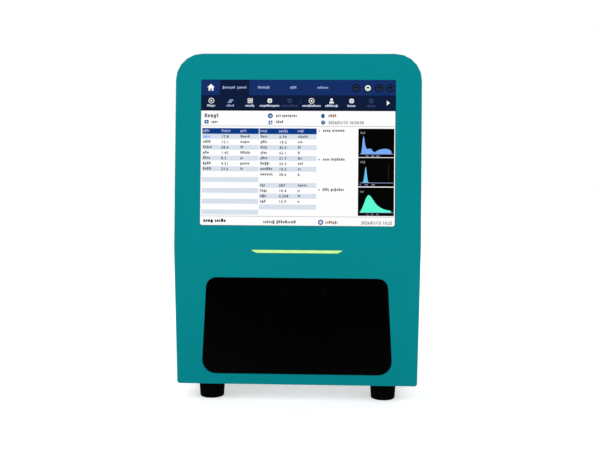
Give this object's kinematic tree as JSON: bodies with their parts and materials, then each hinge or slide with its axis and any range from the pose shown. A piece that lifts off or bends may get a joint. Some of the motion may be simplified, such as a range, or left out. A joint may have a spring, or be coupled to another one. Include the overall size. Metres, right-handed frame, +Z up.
{
  "type": "hematology analyzer",
  "caption": "Benchtop blood cell analyzer with a leaning touch display, a black bay with a sliding sample tray, and a needle drive, baths and syringes inside.",
  "frame": {"origin": "on the bench, under the middle of the machine's box", "axes": "+X to the right of someone facing the display, +Y to the rear, +Z up"},
  "size_m": [0.2666, 0.41, 0.3826],
  "materials": {
    "teal_moulding": "satin moulded",
    "screen_glass": "smooth glass in front of a dark display",
    "black_gloss": "high gloss",
    "black_plastic": "matt moulded",
    "dark_plastic": "matt moulded",
    "light_plastic": "satin moulded",
    "white_acetal": "machined",
    "natural_acetal": "moulded",
    "lime_light": "lit from behind",
    "amber_polymer": "clear amber",
    "bottle_plastic": "blow moulded, translucent",
    "blue_cap": "ribbed",
    "barrel_glass": "ground bore",
    "black_rubber": "moulded",
    "painted_steel": "fine powder coat",
    "zinc_plated_steel": "zinc plated",
    "ground_steel": "ground",
    "chrome_wire": "bright",
    "aluminium": "satin",
    "cast_aluminium": "cast",
    "dark_metal": "dark anodised",
    "motor_steel": "black plated",
    "circuit_board": "solder mask"
  },
  "bodies": {
    "root": {"base_plate": "zinc_plated_steel", "bath_bracket": "zinc_plated_steel", "bay_liner": "dark_plastic", "bay_panel": "black_gloss", "bottle_cap": "blue_cap", "carriage_belt": "black_rubber", "carriage_motor": "motor_steel", "carriage_rail": "ground_steel", "data_sockets": "aluminium", "diluent_motor": "motor_steel", "diluent_syringe": "barrel_glass", "display_bracket": "zinc_plated_steel", "display_module": "dark_metal", "door_hinge_lower": "ground_steel", "door_hinge_upper": "ground_steel", "fan_frame": "black_plastic", "fan_guard": "chrome_wire", "first_bath": "amber_polymer", "front_bezel": "teal_moulding", "front_left_foot": "black_rubber", "front_right_foot": "black_rubber", "light_bar": "lime_light", "light_board": "circuit_board", "lyse_bottle": "bottle_plastic", "main_board": "circuit_board", "main_cover": "painted_steel", "partition_plate": "zinc_plated_steel", "power_inlet": "black_plastic", "power_supply": "aluminium", "reagent_ports": "light_plastic", "rear_left_foot": "black_rubber", "rear_panel": "painted_steel", "rear_right_foot": "black_rubber", "sample_motor": "motor_steel", "sample_syringe": "barrel_glass", "second_bath": "amber_polymer", "switch_frame": "black_plastic", "syringe_bracket": "zinc_plated_steel", "touch_glass": "screen_glass", "tray_guide": "dark_plastic", "tray_motor": "motor_steel", "tray_motor_plate": "zinc_plated_steel", "valve_manifold": "white_acetal", "waste_pump": "dark_plastic"},
    "tray": {"sample_tray": "black_gloss", "tube_holder": "light_plastic"},
    "tray_gear": {"tray_pinion": "natural_acetal"},
    "carriage": {"probe_carriage": "cast_aluminium", "probe_wash_block": "white_acetal", "probe_motor": "motor_steel"},
    "probe": {"probe_rack": "natural_acetal", "sample_probe": "ground_steel"},
    "probe_gear": {"probe_pinion": "natural_acetal"},
    "drive_wheel": {"drive_pulley": "aluminium"},
    "idler_wheel": {"idler_pulley": "aluminium"},
    "diluent_piston": {"diluent_plunger": "ground_steel"},
    "sample_piston": {"sample_plunger": "ground_steel"},
    "fan_wheel": {"fan_rotor": "black_plastic"},
    "door": {"service_door": "painted_steel"},
    "rocker": {"switch_rocker": "black_gloss"}
  },
  "joints": [
    {"name": "tray_slide", "type": "slide", "parent": "root", "child": "tray", "axis": [0, -1, 0], "range_m": [0, 0.07]},
    {"name": "tray_gear_spin", "type": "hinge", "parent": "root", "child": "tray_gear", "pos_m": [0.03835, -0.11, 0.03674], "axis": [0, 0, 1], "range_deg": [0, 447]},
    {"name": "carriage_slide", "type": "slide", "parent": "root", "child": "carriage", "axis": [0, 1, 0], "range_m": [0, 0.13]},
    {"name": "probe_slide", "type": "slide", "parent": "carriage", "child": "probe", "axis": [0, 0, -1], "range_m": [0, 0.084]},
    {"name": "probe_gear_spin", "type": "hinge", "parent": "carriage", "child": "probe_gear", "pos_m": [0.03025, -0.1497, 0.20367], "axis": [0, 1, 0], "range_deg": [0, 536]},
    {"name": "drive_wheel_spin", "type": "hinge", "parent": "root", "child": "drive_wheel", "pos_m": [0.0545, 0.0043, 0.23597], "axis": [1, 0, 0], "range_deg": [0, 829]},
    {"name": "idler_wheel_spin", "type": "hinge", "parent": "root", "child": "idler_wheel", "pos_m": [0.0545, -0.1557, 0.23597], "axis": [1, 0, 0], "range_deg": [0, 829]},
    {"name": "diluent_stroke", "type": "slide", "parent": "root", "child": "diluent_piston", "axis": [0, 0, -1], "range_m": [0, 0.04]},
    {"name": "sample_stroke", "type": "slide", "parent": "root", "child": "sample_piston", "axis": [0, 0, -1], "range_m": [0, 0.04]},
    {"name": "fan_spin", "type": "hinge", "parent": "root", "child": "fan_wheel", "pos_m": [0.092, 0.1862, 0.27], "axis": [0, 1, 0], "continuous": true},
    {"name": "door_hinge", "type": "hinge", "parent": "root", "child": "door", "pos_m": [-0.1313, 0.045, 0.064], "axis": [0, 0, -1], "range_deg": [0, 100]},
    {"name": "switch_tilt", "type": "hinge", "parent": "root", "child": "rocker", "pos_m": [0.092, 0.187, 0.09], "axis": [-1, 0, 0], "range_deg": [0, 20]}
  ],
  "couplings": [
    {"joint": "tray_gear_spin", "follows": "tray_slide", "rad_per_m": 111.11},
    {"joint": "probe_gear_spin", "follows": "probe_slide", "rad_per_m": 111.11},
    {"joint": "drive_wheel_spin", "follows": "carriage_slide", "rad_per_m": 111.11},
    {"joint": "idler_wheel_spin", "follows": "carriage_slide", "rad_per_m": 111.11}
  ]
}
